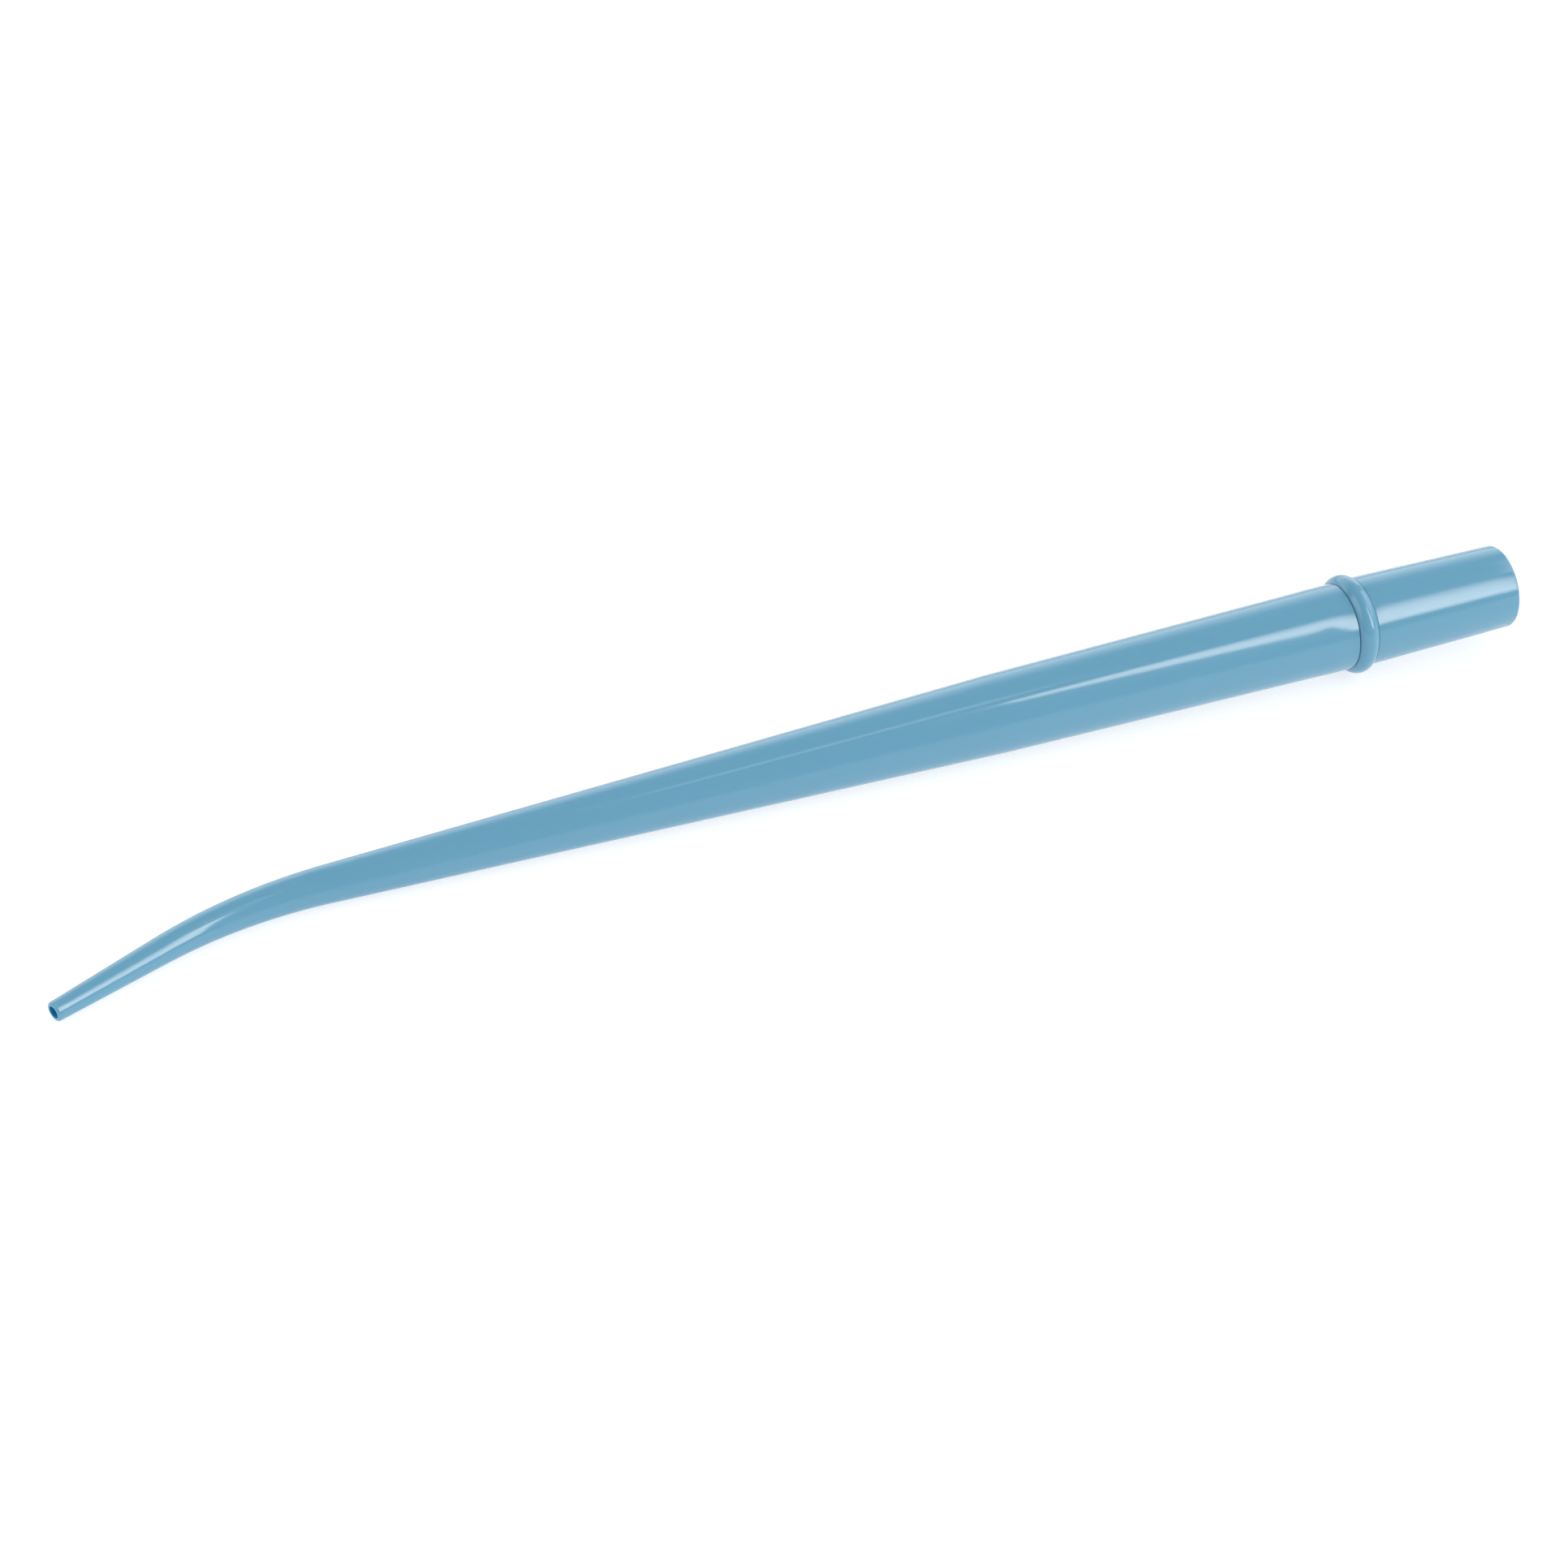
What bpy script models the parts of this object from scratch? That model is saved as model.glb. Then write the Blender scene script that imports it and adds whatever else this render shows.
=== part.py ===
"""Surgical aspirator tip for a dental high-volume suction valve, in three pieces.

A long tapered barrel with a bent nose carries a spigot at its rear. The stop ring slides onto the
spigot, and the valve connector is pushed on behind it, so that the ring is held between the two.
Air and fluid run through all three in one open lumen.

Each piece is turned about its own X axis. X is the distance along the centreline from the stop
ring's middle plane: positive towards the nose, negative towards the valve. The barrel is turned
straight and then bent. The assembly lies on the floor the way it comes to rest on a table: on the
stop ring, on the shoulder between grip and cone, and on the side of the bent nose.
"""

import math

import bpy
from mathutils import Matrix, Vector

MM = 0.001

# Driving dimensions, in metres.
SHOULDER_AT = 48.7 * MM  # where the grip ends and the long cone starts
NOSE_AT = 168.3 * MM  # length from the stop ring to the nose along the centreline
BEND_AT = 132.5 * MM
BEND_LENGTH = 21.3 * MM  # along the centreline
BEND_ANGLE = math.radians(22.8)

GRIP_RADIUS = 5.53 * MM  # against the stop ring
SHOULDER_RADIUS = 4.91 * MM
NOSE_RADIUS = 1.19 * MM  # before its lip is rounded
SPIGOT_RADIUS = 4.85 * MM
SPIGOT_END_AT = -13.3 * MM

NOSE_BORE_RADIUS = 0.75 * MM
SHOULDER_BORE_RADIUS = 3.95 * MM
REAR_BORE_RADIUS = 4.20 * MM

RING_WIDTH = 2.5 * MM
RING_RADIUS = 6.33 * MM

CONNECTOR_END_AT = -21.6 * MM
CONNECTOR_FRONT_RADIUS = 5.64 * MM
CONNECTOR_END_RADIUS = 5.30 * MM
CONNECTOR_BORE_RADIUS = 4.45 * MM

ASSEMBLY_GAP = 0.1 * MM  # left between pieces that are pushed together
NOSE_LIP = 0.28 * MM
CONNECTOR_LIP = 0.40 * MM
EDGE_BREAK = 0.10 * MM  # on the other edges

SIDES = 40  # flats round a turned piece
LIP_STEPS = 4
BEAD_STEPS = 10
GRIP_RUNS = 4  # rings of faces along the grip, the cone, the bend and the nose
CONE_RUNS = 6
BEND_RUNS = 11
NOSE_RUNS = 2
MERGE_DISTANCE = 0.001 * MM

LIGHT_BLUE = (0.160, 0.390, 0.530, 1.0)
PLASTIC_ROUGHNESS = 0.28

RING_FACE = RING_WIDTH / 2
SOCKET_RADIUS = SPIGOT_RADIUS + ASSEMBLY_GAP
FLOOR_SLOPE = math.atan((RING_RADIUS - SHOULDER_RADIUS) / SHOULDER_AT)


def clear_scene():
    for obj in list(bpy.data.objects):
        bpy.data.objects.remove(obj, do_unlink=True)


def plastic(name):
    material = bpy.data.materials.new(name)
    material.use_nodes = True
    shader = material.node_tree.nodes["Principled BSDF"]
    shader.inputs["Base Color"].default_value = LIGHT_BLUE
    shader.inputs["Roughness"].default_value = PLASTIC_ROUGHNESS
    shader.inputs["Metallic"].default_value = 0.0
    material.diffuse_color = LIGHT_BLUE
    return material


def evenly(first, last, runs):
    """The places that divide the way from first to last into equal runs, without the last one."""
    return [first + (last - first) * i / runs for i in range(runs)]


def between(place, first, last):
    """The height at place on the straight line through two (place, height) points."""
    share = (place - first[0]) / (last[0] - first[0])
    return first[1] + share * (last[1] - first[1])


def rounded(corner, before, after, radius):
    """The points of an arc of this radius in place of the corner between two neighbouring points."""
    corner, before, after = Vector(corner), Vector(before), Vector(after)
    back = (before - corner).normalized()
    on = (after - corner).normalized()
    half = back.angle(on) / 2
    centre = corner + (back + on).normalized() * (radius / math.sin(half))
    start = corner + back * (radius / math.tan(half)) - centre
    turn = start.angle_signed(corner + on * (radius / math.tan(half)) - centre)
    return [tuple(centre + Matrix.Rotation(-turn * i / LIP_STEPS, 2) @ start) for i in range(LIP_STEPS + 1)]


def outline(corners):
    """A closed outline of (place, height) points. A corner's third value, if any, rounds it."""
    points = []
    for i, corner in enumerate(corners):
        if len(corner) == 2:
            points.append(corner)
            continue
        after = corners[(i + 1) % len(corners)]
        points += rounded(corner[:2], corners[i - 1][:2], after[:2], corner[2])
    return points


def turned(name, points, material, collection):
    """A solid turned about X from a closed outline of (place along X, radius) points."""
    mesh = bpy.data.meshes.new(name)
    edges = [(i, (i + 1) % len(points)) for i in range(len(points))]
    mesh.from_pydata([(place, 0.0, radius) for place, radius in points], edges, [])
    mesh.materials.append(material)
    obj = bpy.data.objects.new(name, mesh)
    collection.objects.link(obj)
    screw = obj.modifiers.new("turn", "SCREW")
    screw.axis = "X"
    screw.angle = math.tau
    screw.steps = screw.render_steps = SIDES
    screw.use_merge_vertices = True
    screw.merge_threshold = MERGE_DISTANCE
    screw.use_smooth_shade = True
    return obj


def barrel_places():
    """Where the barrel has a ring of vertices, from the stop ring to the nose."""
    bend_end = BEND_AT + BEND_LENGTH
    grip = evenly(RING_FACE + ASSEMBLY_GAP, SHOULDER_AT, GRIP_RUNS)
    cone = evenly(SHOULDER_AT, BEND_AT, CONE_RUNS)
    bend = evenly(BEND_AT, bend_end, BEND_RUNS)
    nose = evenly(bend_end, NOSE_AT, NOSE_RUNS)
    return grip + cone + bend + nose


def barrel_radius(place):
    shoulder = (SHOULDER_AT, SHOULDER_RADIUS)
    if place < SHOULDER_AT:
        return between(place, (RING_FACE + ASSEMBLY_GAP, GRIP_RADIUS), shoulder)
    return between(place, shoulder, (NOSE_AT, NOSE_RADIUS))


def bore_radius(place):
    shoulder = (SHOULDER_AT, SHOULDER_BORE_RADIUS)
    if place < SHOULDER_AT:
        return between(place, (SPIGOT_END_AT, REAR_BORE_RADIUS), shoulder)
    return between(place, shoulder, (NOSE_AT, NOSE_BORE_RADIUS))


def barrel_outline():
    """Starts behind the spigot, runs up the bore to the nose, and comes back along the outside."""
    places = barrel_places()
    front = places[0]
    corners = [(SPIGOT_END_AT, SPIGOT_RADIUS, EDGE_BREAK), (SPIGOT_END_AT, REAR_BORE_RADIUS, EDGE_BREAK)]
    corners += [(place, bore_radius(place)) for place in places]
    corners += [(NOSE_AT, NOSE_BORE_RADIUS, EDGE_BREAK), (NOSE_AT, NOSE_RADIUS, NOSE_LIP)]
    corners += [(place, barrel_radius(place)) for place in reversed(places[1:])]
    corners += [(front, GRIP_RADIUS, EDGE_BREAK), (front, SPIGOT_RADIUS)]
    return outline(corners)


def bend(obj):
    """Bends a straight barrel sideways, to +Y. The object's origin has to be where the bend starts."""
    modifier = obj.modifiers.new("bend", "SIMPLE_DEFORM")
    modifier.deform_method = "BEND"
    modifier.deform_axis = "Z"
    modifier.angle = BEND_ANGLE
    length = NOSE_AT - SPIGOT_END_AT
    start = (BEND_AT - SPIGOT_END_AT) / length
    modifier.limits = (start, start + BEND_LENGTH / length)


def make_barrel(collection):
    points = [(place - BEND_AT, radius) for place, radius in barrel_outline()]
    barrel = turned("suction_barrel", points, plastic("barrel_plastic"), collection)
    bend(barrel)
    barrel.location.x = BEND_AT
    return barrel


def make_stop_ring(collection):
    """A ring with a round bead outside and square sides, which sits on the spigot."""
    base = GRIP_RADIUS
    height = RING_RADIUS - base
    bead_radius = (height**2 + RING_FACE**2) / (2 * height)
    half_turn = math.asin(RING_FACE / bead_radius)
    points = [(-RING_FACE, SOCKET_RADIUS), (RING_FACE, SOCKET_RADIUS)]
    for i in range(BEAD_STEPS + 1):
        turn = half_turn * (1 - 2 * i / BEAD_STEPS)
        points.append((bead_radius * math.sin(turn), RING_RADIUS - bead_radius * (1 - math.cos(turn))))
    return turned("stop_ring", points, plastic("ring_plastic"), collection)


def make_connector(collection):
    """The round end that goes into the suction valve, with the socket for the barrel's spigot inside."""
    front = -RING_FACE - ASSEMBLY_GAP
    socket_end = SPIGOT_END_AT - ASSEMBLY_GAP
    corners = [
        (CONNECTOR_END_AT, CONNECTOR_END_RADIUS, CONNECTOR_LIP),
        (CONNECTOR_END_AT, CONNECTOR_BORE_RADIUS, EDGE_BREAK),
        (socket_end, CONNECTOR_BORE_RADIUS),
        (socket_end, SOCKET_RADIUS),
        (front, SOCKET_RADIUS),
        (front, CONNECTOR_FRONT_RADIUS, EDGE_BREAK),
    ]
    return turned("valve_connector", outline(corners), plastic("connector_plastic"), collection)


def nose_centre():
    """The centre of the nose's end in the assembly's own axes, after the bend."""
    bend_radius = BEND_LENGTH / BEND_ANGLE
    nose_length = NOSE_AT - BEND_AT - BEND_LENGTH
    x = BEND_AT + bend_radius * math.sin(BEND_ANGLE) + nose_length * math.cos(BEND_ANGLE)
    y = bend_radius * (1 - math.cos(BEND_ANGLE)) + nose_length * math.sin(BEND_ANGLE)
    return x, y


def floor_attitude():
    """The turn that brings ring and shoulder level, and then leans the bent nose down onto the floor."""
    nose_x, nose_y = nose_centre()
    clearance = RING_RADIUS - nose_x * math.tan(FLOOR_SLOPE) - NOSE_RADIUS / math.cos(FLOOR_SLOPE)
    lean = math.asin(clearance / nose_y)
    return Matrix.Rotation(FLOOR_SLOPE, 4, "Y") @ Matrix.Rotation(-lean, 4, "X")


def lay_on_floor(pieces):
    """Parents the pieces to one empty, and puts the middle of their box's underside at the origin."""
    assembly = bpy.data.objects.new("assembly", None)
    bpy.context.scene.collection.objects.link(assembly)
    assembly.matrix_world = floor_attitude()
    for piece in pieces:
        piece.parent = assembly
    bpy.context.view_layer.update()
    graph = bpy.context.evaluated_depsgraph_get()
    points = []
    for piece in pieces:
        evaluated = piece.evaluated_get(graph)
        points += [evaluated.matrix_world @ vertex.co for vertex in evaluated.data.vertices]
    low = Vector(map(min, zip(*points)))
    high = Vector(map(max, zip(*points)))
    middle = (low + high) / 2
    assembly.location = (-middle.x, -middle.y, -low.z)


def main():
    clear_scene()
    collection = bpy.data.collections.new("surgical_aspirator_tip")
    bpy.context.scene.collection.children.link(collection)
    pieces = [make_barrel(collection), make_stop_ring(collection), make_connector(collection)]
    lay_on_floor(pieces)


main()
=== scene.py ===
"""Looks for the surgical aspirator tip: fine turned pieces, moulded plastic, floor, light and camera."""

import math

import bpy
from mathutils import Matrix, Vector


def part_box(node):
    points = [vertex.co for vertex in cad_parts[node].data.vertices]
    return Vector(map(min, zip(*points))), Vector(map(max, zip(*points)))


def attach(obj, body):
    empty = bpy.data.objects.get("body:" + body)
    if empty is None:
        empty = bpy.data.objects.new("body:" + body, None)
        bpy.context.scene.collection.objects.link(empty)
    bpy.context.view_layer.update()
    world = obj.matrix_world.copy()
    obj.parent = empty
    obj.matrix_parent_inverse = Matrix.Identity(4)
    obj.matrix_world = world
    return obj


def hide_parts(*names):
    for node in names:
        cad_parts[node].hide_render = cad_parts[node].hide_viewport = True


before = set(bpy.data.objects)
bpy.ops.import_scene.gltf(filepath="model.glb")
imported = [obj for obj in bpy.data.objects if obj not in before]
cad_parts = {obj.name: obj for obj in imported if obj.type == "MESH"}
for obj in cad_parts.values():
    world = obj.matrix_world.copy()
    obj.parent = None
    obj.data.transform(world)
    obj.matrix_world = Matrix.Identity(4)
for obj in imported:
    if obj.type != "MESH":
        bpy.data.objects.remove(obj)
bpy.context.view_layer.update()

MM = 0.001

# The part's own dimensions, in metres. Places are along the centreline from the stop ring's middle.
SHOULDER_AT = 48.7 * MM
NOSE_AT = 168.3 * MM
BEND_AT = 132.5 * MM
BEND_LENGTH = 21.3 * MM
BEND_ANGLE = math.radians(22.8)
GRIP_RADIUS = 5.53 * MM
SHOULDER_RADIUS = 4.91 * MM
NOSE_RADIUS = 1.19 * MM
SPIGOT_RADIUS = 4.85 * MM
SPIGOT_END_AT = -13.3 * MM
NOSE_BORE_RADIUS = 0.75 * MM
SHOULDER_BORE_RADIUS = 3.95 * MM
REAR_BORE_RADIUS = 4.20 * MM
RING_WIDTH = 2.5 * MM
RING_RADIUS = 6.33 * MM
CONNECTOR_END_AT = -21.6 * MM
CONNECTOR_FRONT_RADIUS = 5.64 * MM
CONNECTOR_END_RADIUS = 5.30 * MM
CONNECTOR_BORE_RADIUS = 4.45 * MM
ASSEMBLY_GAP = 0.1 * MM
NOSE_LIP = 0.28 * MM
CONNECTOR_LIP = 0.40 * MM
EDGE_BREAK = 0.10 * MM

# Details too small for the solids.
FRONT_GAP = 0.09 * MM  # the parting line in front of the stop ring
REAR_GAP = 0.01 * MM
REAR_FILLET = 0.08 * MM  # where the stop ring runs out onto the connector
GRIP_EDGE = 0.05 * MM
GRIP_SINK = 0.06 * MM  # the grip's surface falls away towards the parting line
GRIP_SINK_AT = -0.6 * MM  # from the parting line, so under the stop ring
GRIP_SINK_REACH = 1.2 * MM
GRIP_SWELL = 0.02 * MM  # and swells a little ahead of that
GRIP_SWELL_AT = 3.0 * MM
GRIP_SWELL_REACH = 1.5 * MM
CONNECTOR_FLARE = 0.03 * MM  # the connector widens a little towards the stop ring
CONNECTOR_FLARE_REACH = 0.4 * MM
CONNECTOR_FLARE_RUN = 1.6 * MM  # the stretch with fine faces for it

# How fine the shown surfaces are.
SIDES = 144
ARC_STEPS = 10
BEAD_STEPS = 40
RUN = 2.0 * MM  # longest face along a straight stretch
BEND_RUN = 0.5 * MM
FINE_RUN = 0.1 * MM
MERGE_DISTANCE = 0.001 * MM

RING_FACE = RING_WIDTH / 2
SOCKET_RADIUS = SPIGOT_RADIUS + ASSEMBLY_GAP
FLOOR_SLOPE = math.atan((RING_RADIUS - SHOULDER_RADIUS) / SHOULDER_AT)

# Camera, measured from a point near the middle of the part.
CAMERA_TARGET = Vector((4.46 * MM, 0.0, 3.45 * MM))
CAMERA_DISTANCE = 411.7 * MM
CAMERA_AZIMUTH = math.radians(158.69)
CAMERA_ELEVATION = math.radians(36.25)
CAMERA_LENS_MM = 79.31
SENSOR_MM = 36.0
CLIP_START = 10.0 * MM

# Plastic. It lets a little light through.
BASE_COLOR = (0.130, 0.347, 0.505, 1.0)
PLASTIC_IOR = 1.49
ROUGHNESS_RANGE = (0.085, 0.125)
TRANSLUCENCE = 0.25
SCATTER_COLOR = (0.3, 0.9, 1.3)
SCATTER_DEPTH = 1.0 * MM
BORE_SHADE_SATURATION = 1.26  # painted shade: the bore's colour is made more saturated, standing in for the deeper look it gets from taking much of its light through the wall
BORE_SPECULAR = 0.25
OUTSIDE_SPECULAR = 0.5
FACES_IN = 0.6  # a wall counts as the bore's from this inward share of its normal
NOISE_RANGE = (0.3, 0.7)
STREAK_WIDTH = 0.9 * MM
STREAK_STRETCH = 25.0
STREAK_VALUES = (0.985, 1.015)
HAZE_SIZE = 1.5 * MM
HAZE_STRETCH = 3.0
RIPPLE_SIZE = 1.6 * MM
RIPPLE_HEIGHT = 0.006 * MM
DRAW_LINE_WIDTH = 0.12 * MM
DRAW_LINE_STRETCH = 60.0
DRAW_LINE_HEIGHT = 0.001 * MM

# Studio: a lit white table, a tall key softbox, a wide dimmer one behind the part, one past each end
# and one overhead. Shares are of a softbox's height.
FLOOR_SIZE = 6.0
FLOOR_COLOR = (0.42, 0.42, 0.42, 1.0)
FLOOR_ROUGHNESS = 0.9
FLOOR_GLOW = 0.70
WORLD_RADIANCE = 0.355
WHITE = (1.0, 1.0, 1.0, 1.0)
KEY_COLOR = (1.0, 0.91, 0.86)
KEY_FOOT = (0.07, 0.18)  # shares over which the light comes up from nothing
KEY_HEAD = (0.80, 1.0)  # and dies away again
KEY_FOOT_DROP = 0.11  # how much lower the light starts on the side of the part's rear end
KEY_REAR_SIDE = (0.1, 1.0)  # shares of the width over which it fades towards that side
KEY_REAR_LOSS = (0.35, 1.0)  # what is lost there, at foot and head
BACK_FOOT = (0.0, 0.05)
BACK_HEAD = (0.12, 0.95)


def evenly(first, last, step):
    """Places from first up to, but not including, last, no further apart than step."""
    runs = max(1, math.ceil(abs(last - first) / step))
    return [first + (last - first) * i / runs for i in range(runs)]


def between(place, first, last):
    """The radius at place on the straight line through two (place, radius) points."""
    share = (place - first[0]) / (last[0] - first[0])
    return first[1] + share * (last[1] - first[1])


def rounded(corner, before, after, radius):
    """The points of an arc of this radius in place of the corner between two neighbouring points."""
    corner, before, after = Vector(corner), Vector(before), Vector(after)
    back = (before - corner).normalized()
    on = (after - corner).normalized()
    half = back.angle(on) / 2
    centre = corner + (back + on).normalized() * (radius / math.sin(half))
    start = corner + back * (radius / math.tan(half)) - centre
    turn = start.angle_signed(corner + on * (radius / math.tan(half)) - centre)
    return [tuple(centre + Matrix.Rotation(-turn * i / ARC_STEPS, 2) @ start) for i in range(ARC_STEPS + 1)]


def outline(corners):
    """A closed outline of (place, radius) points. A corner's third value, if any, rounds it."""
    points = []
    for i, corner in enumerate(corners):
        if len(corner) == 2:
            points.append(corner)
            continue
        after = corners[(i + 1) % len(corners)]
        points += rounded(corner[:2], corners[i - 1][:2], after[:2], corner[2])
    return points


def apply_modifiers(obj):
    graph = bpy.context.evaluated_depsgraph_get()
    mesh = bpy.data.meshes.new_from_object(obj.evaluated_get(graph))
    obj.modifiers.clear()
    obj.data = mesh


def note_surface(mesh):
    """Keeps the unbent coordinates in the attribute "straight", and 1 in "inside" where a wall faces in."""
    straight = mesh.attributes.new("straight", "FLOAT_VECTOR", "POINT")
    inside = mesh.attributes.new("inside", "FLOAT", "POINT")
    for vertex, place, share in zip(mesh.vertices, straight.data, inside.data):
        place.vector = vertex.co
        share.value = float(vertex.normal.yz.dot(vertex.co.yz.normalized()) < -FACES_IN)


def turned(name, points, material):
    """A solid turned about X from a closed outline of (place along X, radius) points."""
    mesh = bpy.data.meshes.new(name)
    edges = [(i, (i + 1) % len(points)) for i in range(len(points))]
    mesh.from_pydata([(place, 0.0, radius) for place, radius in points], edges, [])
    mesh.materials.append(material)
    obj = bpy.data.objects.new(name, mesh)
    bpy.context.scene.collection.objects.link(obj)
    screw = obj.modifiers.new("turn", "SCREW")
    screw.axis = "X"
    screw.angle = math.tau
    screw.steps = screw.render_steps = SIDES
    screw.use_merge_vertices = True
    screw.merge_threshold = MERGE_DISTANCE
    screw.use_smooth_shade = True
    apply_modifiers(obj)
    note_surface(obj.data)
    return obj


def hump(distance, middle, reach):
    """1 at the middle, and next to nothing two reaches away from it."""
    return math.exp(-(((distance - middle) / reach) ** 2))


def swell(distance):
    """What the grip's radius gains at this distance from the parting line."""
    sink = GRIP_SINK * hump(distance, GRIP_SINK_AT, GRIP_SINK_REACH)
    return GRIP_SWELL * hump(distance, GRIP_SWELL_AT, GRIP_SWELL_REACH) - sink


def barrel_radius(place):
    shoulder = (SHOULDER_AT, SHOULDER_RADIUS)
    if place < SHOULDER_AT:
        taper = between(place, (RING_FACE + ASSEMBLY_GAP, GRIP_RADIUS), shoulder)
        return taper + swell(place - RING_FACE - FRONT_GAP)
    return between(place, shoulder, (NOSE_AT, NOSE_RADIUS))


def connector_radius(place):
    taper = between(place, (-RING_FACE, CONNECTOR_FRONT_RADIUS), (CONNECTOR_END_AT, CONNECTOR_END_RADIUS))
    return taper + CONNECTOR_FLARE * math.exp((place + RING_FACE) / CONNECTOR_FLARE_REACH)


def bore_radius(place):
    shoulder = (SHOULDER_AT, SHOULDER_BORE_RADIUS)
    if place < SHOULDER_AT:
        return between(place, (SPIGOT_END_AT, REAR_BORE_RADIUS), shoulder)
    return between(place, shoulder, (NOSE_AT, NOSE_BORE_RADIUS))


def bend(obj):
    """Bends a straight barrel to +Y from BEND_AT on."""
    obj.data.transform(Matrix.Translation((-BEND_AT, 0.0, 0.0)))
    modifier = obj.modifiers.new("bend", "SIMPLE_DEFORM")
    modifier.deform_method = "BEND"
    modifier.deform_axis = "Z"
    modifier.angle = BEND_ANGLE
    length = NOSE_AT - SPIGOT_END_AT
    start = (BEND_AT - SPIGOT_END_AT) / length
    modifier.limits = (start, start + BEND_LENGTH / length)
    apply_modifiers(obj)
    obj.data.transform(Matrix.Translation((BEND_AT, 0.0, 0.0)))


def make_barrel(material):
    bend_end = BEND_AT + BEND_LENGTH
    front = RING_FACE + FRONT_GAP
    swell_end = front + GRIP_SWELL_AT + 2 * GRIP_SWELL_REACH
    grip = evenly(front, swell_end, FINE_RUN) + evenly(swell_end, SHOULDER_AT, RUN)
    places = grip + evenly(SHOULDER_AT, BEND_AT, RUN)
    places += evenly(BEND_AT, bend_end, BEND_RUN) + evenly(bend_end, NOSE_AT, RUN)
    corners = [(SPIGOT_END_AT, SPIGOT_RADIUS, EDGE_BREAK), (SPIGOT_END_AT, REAR_BORE_RADIUS, EDGE_BREAK)]
    corners += [(place, bore_radius(place)) for place in places]
    corners += [(NOSE_AT, NOSE_BORE_RADIUS, EDGE_BREAK), (NOSE_AT, NOSE_RADIUS, NOSE_LIP)]
    corners += [(place, barrel_radius(place)) for place in reversed(places[1:])]
    corners += [(front, barrel_radius(front), GRIP_EDGE), (front, SPIGOT_RADIUS)]
    barrel = turned("fine_barrel", outline(corners), material)
    bend(barrel)
    return barrel


def make_ring(material):
    """A round bead outside and square sides. Its rear foot meets the connector without a step."""
    height = RING_RADIUS - GRIP_RADIUS
    bead_radius = (height**2 + RING_FACE**2) / (2 * height)
    half_turn = math.asin(RING_FACE / bead_radius)
    rear_foot = CONNECTOR_FRONT_RADIUS + CONNECTOR_FLARE
    points = [(-RING_FACE, SOCKET_RADIUS), (RING_FACE, SOCKET_RADIUS)]
    for i in range(BEAD_STEPS + 1):
        turn = half_turn * (1 - 2 * i / BEAD_STEPS)
        radius = RING_RADIUS - bead_radius * (1 - math.cos(turn))
        if turn > 0 or radius > rear_foot + REAR_FILLET:
            points.append((bead_radius * math.sin(turn), radius))
    points.append((-RING_FACE, rear_foot))
    return turned("fine_stop_ring", points, material)


def make_connector(material):
    front = -RING_FACE - REAR_GAP
    socket_end = SPIGOT_END_AT - ASSEMBLY_GAP
    flare_end = front - CONNECTOR_FLARE_RUN
    places = evenly(front, flare_end, FINE_RUN) + evenly(flare_end, CONNECTOR_END_AT + RUN, RUN)
    corners = [
        (CONNECTOR_END_AT, CONNECTOR_END_RADIUS, CONNECTOR_LIP),
        (CONNECTOR_END_AT, CONNECTOR_BORE_RADIUS, EDGE_BREAK),
        (socket_end, CONNECTOR_BORE_RADIUS),
        (socket_end, SOCKET_RADIUS),
        (front, SOCKET_RADIUS),
    ]
    corners += [(place, connector_radius(place)) for place in places]
    return turned("fine_connector", outline(corners), material)


def attitude():
    bend_radius = BEND_LENGTH / BEND_ANGLE
    nose_length = NOSE_AT - BEND_AT - BEND_LENGTH
    nose_x = BEND_AT + bend_radius * math.sin(BEND_ANGLE) + nose_length * math.cos(BEND_ANGLE)
    nose_y = bend_radius * (1 - math.cos(BEND_ANGLE)) + nose_length * math.sin(BEND_ANGLE)
    clearance = RING_RADIUS - nose_x * math.tan(FLOOR_SLOPE) - NOSE_RADIUS / math.cos(FLOOR_SLOPE)
    lean = math.asin(clearance / nose_y)
    low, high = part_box("stop_ring")
    turn = Matrix.Rotation(FLOOR_SLOPE, 4, "Y") @ Matrix.Rotation(-lean, 4, "X")
    return Matrix.Translation((low + high) / 2) @ turn


def add_node(tree, kind, **values):
    """A shader node with these socket values. An underscore in a socket's name stands for a space."""
    node = tree.nodes.new("ShaderNode" + kind)
    for name, value in values.items():
        node.inputs[name.replace("_", " ")].default_value = value
    return node


def noise(tree, place, size, stretch=1.0):
    """Noise with features of this size in metres, drawn out along the part by the stretch."""
    mapping = add_node(tree, "Mapping", Scale=(1.0 / (size * stretch), 1.0 / size, 1.0 / size))
    tree.links.new(place, mapping.inputs["Vector"])
    texture = add_node(tree, "TexNoise", Scale=1.0)
    tree.links.new(mapping.outputs["Vector"], texture.inputs["Vector"])
    return texture.outputs["Fac"]


def spread(tree, value, low, high):
    """Maps noise, over the range where most of it lies, onto low to high."""
    noise_low, noise_high = NOISE_RANGE
    node = add_node(tree, "MapRange", From_Min=noise_low, From_Max=noise_high, To_Min=low, To_Max=high)
    tree.links.new(value, node.inputs["Value"])
    return node.outputs["Result"]


def ramp(tree, value, low, high, first, last):
    """Eases from first to last while the value goes from low to high."""
    node = add_node(tree, "MapRange", From_Min=low, From_Max=high, To_Min=first, To_Max=last)
    node.interpolation_type = "SMOOTHSTEP"
    tree.links.new(value, node.inputs["Value"])
    return node.outputs["Result"]


def attribute(tree, name):
    """A node that reads one of the mesh's own attributes."""
    node = tree.nodes.new("ShaderNodeAttribute")
    node.attribute_name = name
    return node


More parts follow.
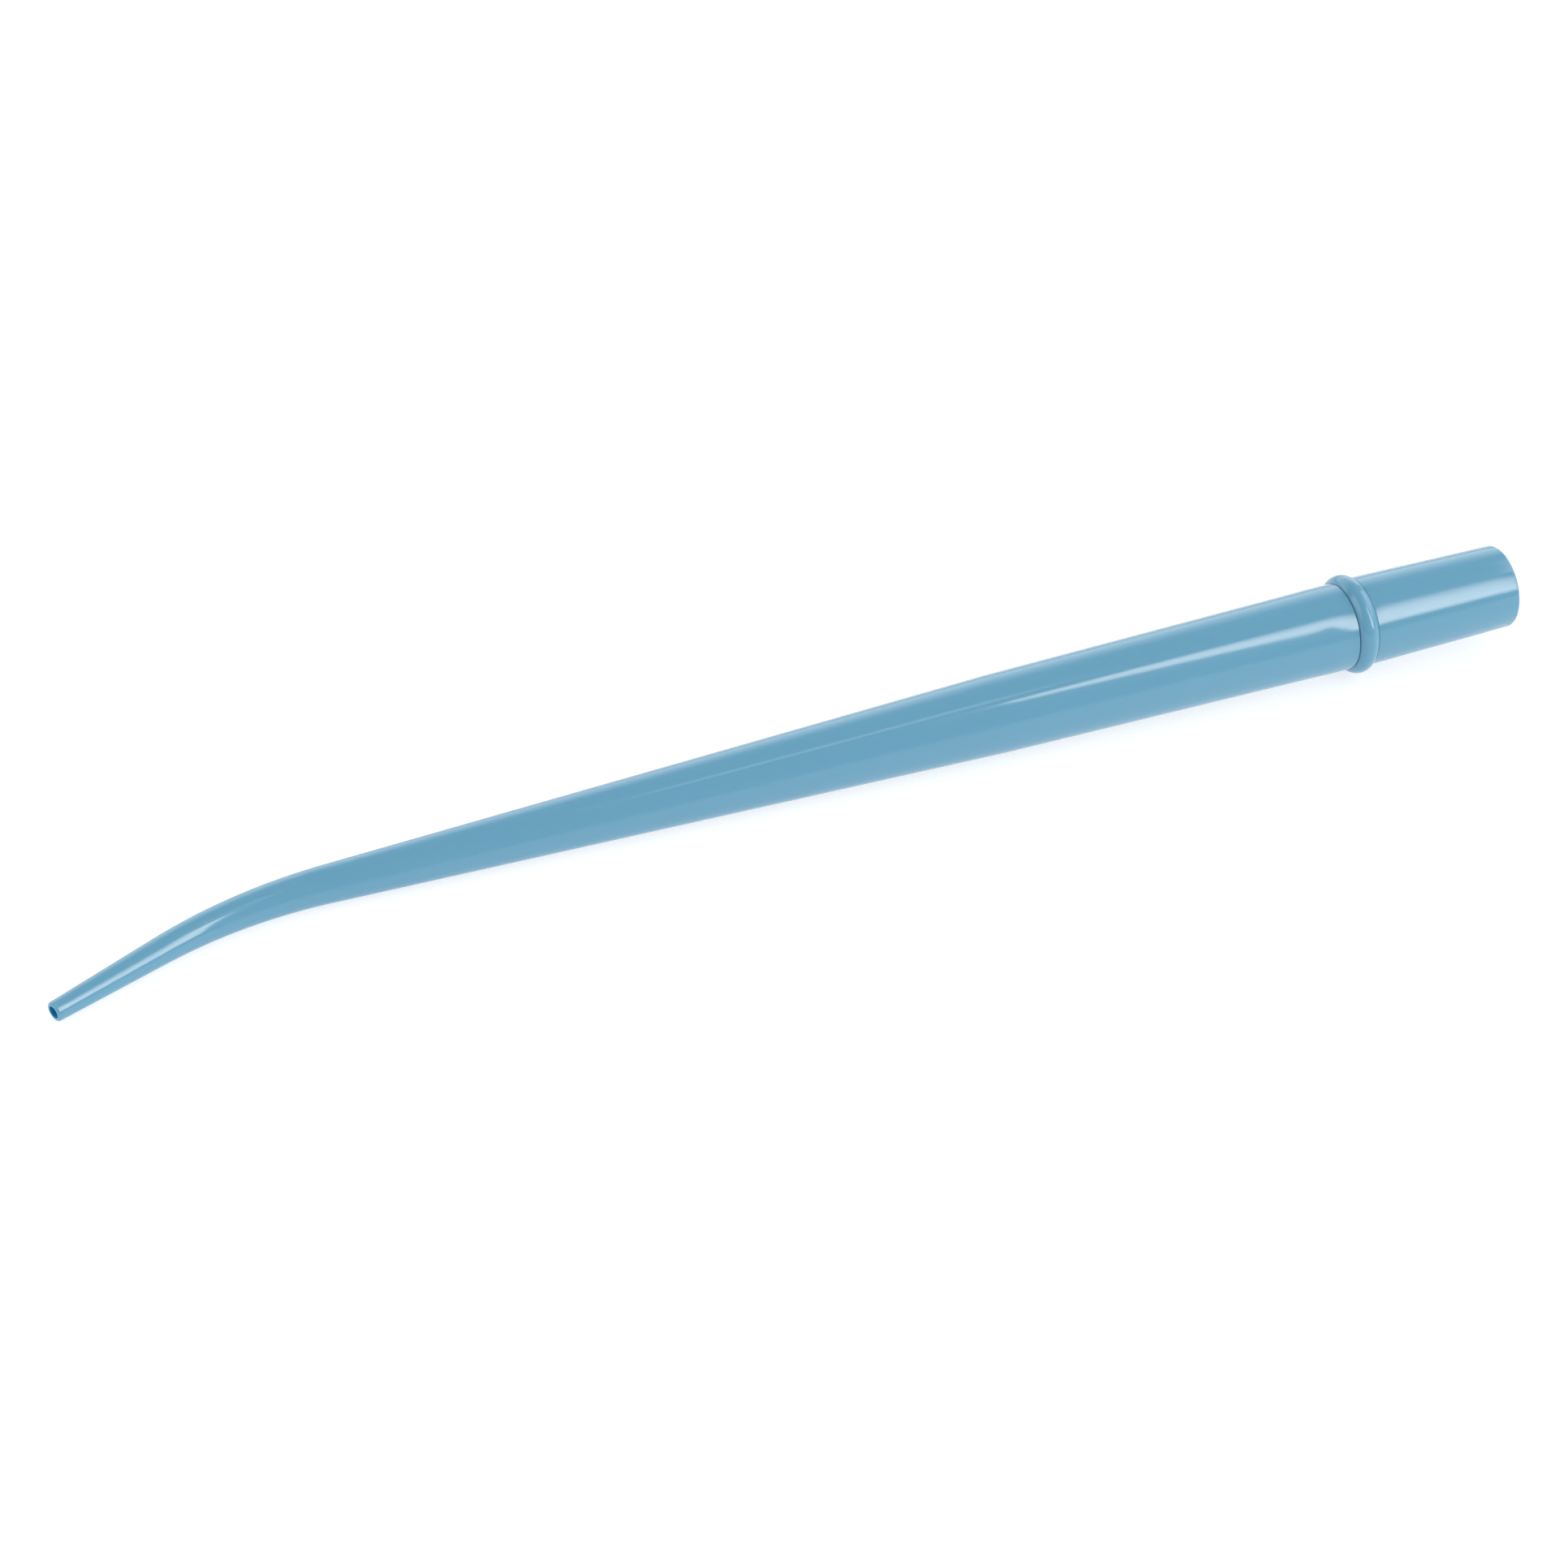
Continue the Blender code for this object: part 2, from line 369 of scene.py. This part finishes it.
def bump(tree, height, metres, normal=None):
    """Relief of this depth in metres, on top of the normal from another bump, if any."""
    node = add_node(tree, "Bump", Distance=metres)
    tree.links.new(height, node.inputs["Height"])
    if normal:
        tree.links.new(normal, node.inputs["Normal"])
    return node.outputs["Normal"]


def plastic(name):
    """Moulded plastic with faint streaks, uneven gloss, a soft ripple and fine lines along the part, and
    painted shade: a more saturated colour on the bore's walls.
    """
    material = bpy.data.materials.new(name)
    material.use_nodes = True
    tree = material.node_tree
    shader = tree.nodes["Principled BSDF"]
    shader.inputs["IOR"].default_value = PLASTIC_IOR
    shader.inputs["Subsurface Weight"].default_value = TRANSLUCENCE
    shader.inputs["Subsurface Radius"].default_value = SCATTER_COLOR
    shader.inputs["Subsurface Scale"].default_value = SCATTER_DEPTH
    place = attribute(tree, "straight").outputs["Vector"]
    inside = attribute(tree, "inside").outputs["Fac"]

    streaks = noise(tree, place, STREAK_WIDTH, STREAK_STRETCH)
    streaks_and_bore_shade = add_node(tree, "HueSaturation", Color=BASE_COLOR)
    tree.links.new(spread(tree, streaks, *STREAK_VALUES), streaks_and_bore_shade.inputs["Value"])
    # painted shade: walls that face into the bore get a more saturated colour
    tree.links.new(ramp(tree, inside, 0.0, 1.0, 1.0, BORE_SHADE_SATURATION), streaks_and_bore_shade.inputs["Saturation"])
    tree.links.new(streaks_and_bore_shade.outputs["Color"], shader.inputs["Base Color"])

    specular = ramp(tree, inside, 0.0, 1.0, OUTSIDE_SPECULAR, BORE_SPECULAR)
    tree.links.new(specular, shader.inputs["Specular IOR Level"])
    haze = noise(tree, place, HAZE_SIZE, HAZE_STRETCH)
    tree.links.new(spread(tree, haze, *ROUGHNESS_RANGE), shader.inputs["Roughness"])

    ripple = bump(tree, noise(tree, place, RIPPLE_SIZE), RIPPLE_HEIGHT)
    draw_lines = noise(tree, place, DRAW_LINE_WIDTH, DRAW_LINE_STRETCH)
    tree.links.new(bump(tree, draw_lines, DRAW_LINE_HEIGHT, ripple), shader.inputs["Normal"])
    return material


def make_floor():
    mesh = bpy.data.meshes.new("floor")
    half = FLOOR_SIZE / 2
    corners = [(-half, -half, 0.0), (half, -half, 0.0), (half, half, 0.0), (-half, half, 0.0)]
    mesh.from_pydata(corners, [], [(0, 1, 2, 3)])
    material = bpy.data.materials.new("floor")
    material.use_nodes = True
    shader = material.node_tree.nodes["Principled BSDF"]
    shader.inputs["Base Color"].default_value = FLOOR_COLOR
    shader.inputs["Roughness"].default_value = FLOOR_ROUGHNESS
    shader.inputs["Specular IOR Level"].default_value = 0.0
    shader.inputs["Emission Color"].default_value = WHITE
    shader.inputs["Emission Strength"].default_value = FLOOR_GLOW
    mesh.materials.append(material)
    floor = bpy.data.objects.new("floor", mesh)
    bpy.context.scene.collection.objects.link(floor)


def direction(azimuth, elevation):
    """The way out from the part. Azimuth 0 is -Y, and a quarter turn is +X, past the nose."""
    level = math.cos(elevation)
    return Vector((math.sin(azimuth) * level, -math.cos(azimuth) * level, math.sin(elevation)))


def panel(name, azimuth, distance, width, bottom, top, radiance):
    """An upright softbox that faces the part, at this azimuth in degrees."""
    data = bpy.data.lights.new(name, "AREA")
    data.shape = "RECTANGLE"
    data.size = width
    data.size_y = top - bottom
    data.energy = radiance * math.pi * data.size * data.size_y
    light = bpy.data.objects.new(name, data)
    way = direction(math.radians(azimuth), 0.0)
    light.location = way * distance + Vector((0.0, 0.0, (top + bottom) / 2))
    light.rotation_mode = "QUATERNION"
    light.rotation_quaternion = way.to_track_quat("Z", "Y")
    light.visible_camera = False
    bpy.context.scene.collection.objects.link(light)
    return light


def combine(tree, operation, first, second):
    """A math node. Its operands are sockets or plain numbers."""
    node = tree.nodes.new("ShaderNodeMath")
    node.operation = operation
    for socket, value in zip(node.inputs, (first, second)):
        if isinstance(value, bpy.types.NodeSocket):
            tree.links.new(value, socket)
        else:
            socket.default_value = value
    return node.outputs["Value"]


def panel_shares(light):
    """The light's node tree, and how far across and up the light lies, from 0 to 1."""
    light.data.use_nodes = True
    tree = light.data.node_tree
    surface = add_node(tree, "NewGeometry")
    place = add_node(tree, "SeparateXYZ")
    tree.links.new(surface.outputs["Parametric"], place.inputs["Vector"])
    return tree, place.outputs["X"], place.outputs["Y"]


def set_strength(tree, first, second):
    tree.links.new(combine(tree, "MULTIPLY", first, second), tree.nodes["Emission"].inputs["Strength"])


def fade_back(light):
    """Softens the panel's foot and head."""
    tree, _, up = panel_shares(light)
    set_strength(tree, ramp(tree, up, *BACK_FOOT, 0.0, 1.0), ramp(tree, up, *BACK_HEAD, 1.0, 0.0))


def fade_key(light):
    """Softens foot and head, and dims the key on the side of the part's rear end, most near its head."""
    tree, rearward, up = panel_shares(light)
    side = ramp(tree, rearward, *KEY_REAR_SIDE, 0.0, 1.0)
    loss = combine(tree, "MULTIPLY", side, ramp(tree, up, 0.0, 1.0, *KEY_REAR_LOSS))
    drop = combine(tree, "MULTIPLY", rearward, KEY_FOOT_DROP)
    foot = ramp(tree, combine(tree, "ADD", up, drop), *KEY_FOOT, 0.0, 1.0)
    ends = combine(tree, "MULTIPLY", foot, ramp(tree, up, *KEY_HEAD, 1.0, 0.0))
    set_strength(tree, combine(tree, "SUBTRACT", 1.0, loss), ends)


def make_lights():
    key = panel("key", azimuth=221.5, distance=1.2, width=0.46, bottom=0.12, top=2.15, radiance=8.8)
    key.data.color = KEY_COLOR
    fade_key(key)
    fade_back(panel("back", azimuth=0.0, distance=1.2, width=2.9, bottom=0.06, top=1.9, radiance=1.54))
    panel("nose_side", azimuth=90.0, distance=1.2, width=1.2, bottom=0.3, top=1.8, radiance=1.9)
    panel("rear_side", azimuth=270.0, distance=1.2, width=1.2, bottom=0.3, top=1.8, radiance=1.9)
    panel("overhead", azimuth=221.0, distance=0.8, width=0.5, bottom=1.95, top=2.6, radiance=2.0)


def make_world():
    world = bpy.data.worlds.new("studio")
    world.use_nodes = True
    background = world.node_tree.nodes["Background"]
    background.inputs["Strength"].default_value = WORLD_RADIANCE
    background.inputs["Color"].default_value = WHITE
    bpy.context.scene.world = world


def make_camera():
    data = bpy.data.cameras.new("camera")
    data.sensor_width = SENSOR_MM
    data.lens = CAMERA_LENS_MM
    data.clip_start = CLIP_START
    camera = bpy.data.objects.new("camera", data)
    back = direction(CAMERA_AZIMUTH, CAMERA_ELEVATION)
    camera.location = CAMERA_TARGET + back * CAMERA_DISTANCE
    camera.rotation_mode = "QUATERNION"
    camera.rotation_quaternion = (-back).to_track_quat("-Z", "Y")
    bpy.context.scene.collection.objects.link(camera)
    bpy.context.scene.camera = camera


def place_piece(piece, node):
    """Lays a fine piece where the solid it replaces lies, and hides that solid."""
    piece.data.transform(attitude())
    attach(piece, "root")
    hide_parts(node)


place_piece(make_barrel(plastic("barrel_plastic_fine")), "suction_barrel")
place_piece(make_ring(plastic("ring_plastic_fine")), "stop_ring")
place_piece(make_connector(plastic("connector_plastic_fine")), "valve_connector")

make_floor()
make_world()
make_lights()
make_camera()
bpy.context.scene.view_settings.view_transform = "Standard"
